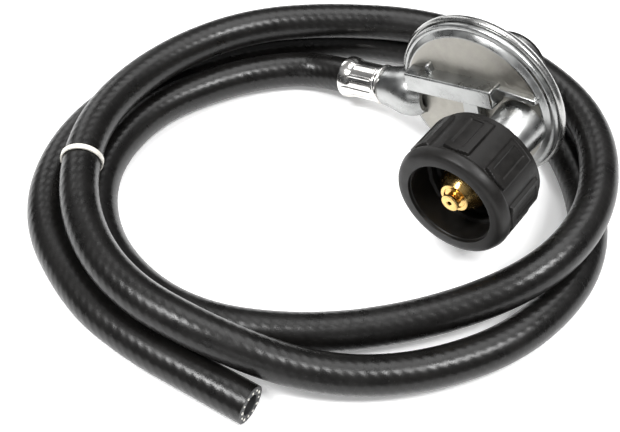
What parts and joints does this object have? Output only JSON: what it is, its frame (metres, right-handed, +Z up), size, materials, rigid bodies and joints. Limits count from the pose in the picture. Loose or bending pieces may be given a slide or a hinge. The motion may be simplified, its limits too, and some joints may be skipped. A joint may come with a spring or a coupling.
{
  "type": "propane regulator hose",
  "caption": "Low-pressure gas regulator with black cylinder nut, crimped ferrule and a coiled black rubber hose with a plain cut end.",
  "frame": {"origin": "bottom centre of the regulator's own box (free hose left out), on the surface it stands on", "axes": "-Y out of the cylinder nut along the inlet axis, +Z up, +X from the hose ferrule towards the inlet side"},
  "size_m": [0.2191, 0.2104, 0.0736],
  "materials": {
    "cast_zinc": "fine as-cast texture with polished edges",
    "plated_steel": "bright nickel plate",
    "brass": "machined, satin",
    "black_plastic": "satin moulded",
    "black_rubber": "satin with fine cross ribs",
    "inner_rubber": "matt",
    "spring_steel": "bright wire",
    "white_nylon": "satin",
    "sealant_ring": "moulded"
  },
  "bodies": {
    "regulator": {"body_casting": "cast_zinc", "bonnet": "cast_zinc", "bonnet_cap": "black_plastic", "vent_screen": "plated_steel", "adjusting_screw": "brass", "diaphragm": "inner_rubber", "lever_pin": "spring_steel", "inlet_nipple": "brass", "nipple_gasket": "inner_rubber", "retaining_clip": "spring_steel", "hose_barb": "plated_steel", "crimp_ferrule": "plated_steel", "hose_root": "black_rubber", "hose": "black_rubber", "hose_end": "black_rubber", "cable_tie": "white_nylon", "tie_head": "white_nylon"},
    "diaphragm_set": {"diaphragm_plate": "spring_steel", "diaphragm_post": "brass", "main_spring": "spring_steel"},
    "lever_set": {"lever": "spring_steel", "seat_disc": "inner_rubber"},
    "poppet_set": {"flow_poppet": "brass", "poppet_spring": "spring_steel"},
    "nut_carrier": {"thermal_bushing": "sealant_ring"},
    "nut": {"coupling_nut": "black_plastic"}
  },
  "joints": [
    {"name": "diaphragm_travel", "type": "slide", "parent": "regulator", "child": "diaphragm_set", "axis": [0, 1, 0], "range_m": [0, 0.0015], "stiffness_N_per_m": 900, "springref_m": -0.002},
    {"name": "lever_tilt", "type": "hinge", "parent": "regulator", "child": "lever_set", "pos_m": [0.02516, 0.0147, 0.039], "axis": [0.1421, 0, -0.9899], "range_deg": [0, 5.8]},
    {"name": "poppet_slide", "type": "slide", "parent": "regulator", "child": "poppet_set", "axis": [0, 1, 0], "range_m": [0, 0.0018], "stiffness_N_per_m": 60, "springref_m": -0.002},
    {"name": "nut_slide", "type": "slide", "parent": "regulator", "child": "nut_carrier", "axis": [0, 1, 0], "range_m": [0, 0.0065]},
    {"name": "nut_spin", "type": "hinge", "parent": "nut_carrier", "child": "nut", "pos_m": [0.0307, -0.042, 0.0398], "axis": [0, -1, 0], "continuous": true}
  ],
  "couplings": [
    {"joint": "lever_tilt", "follows": "diaphragm_travel", "rad_per_m": 64.458}
  ]
}
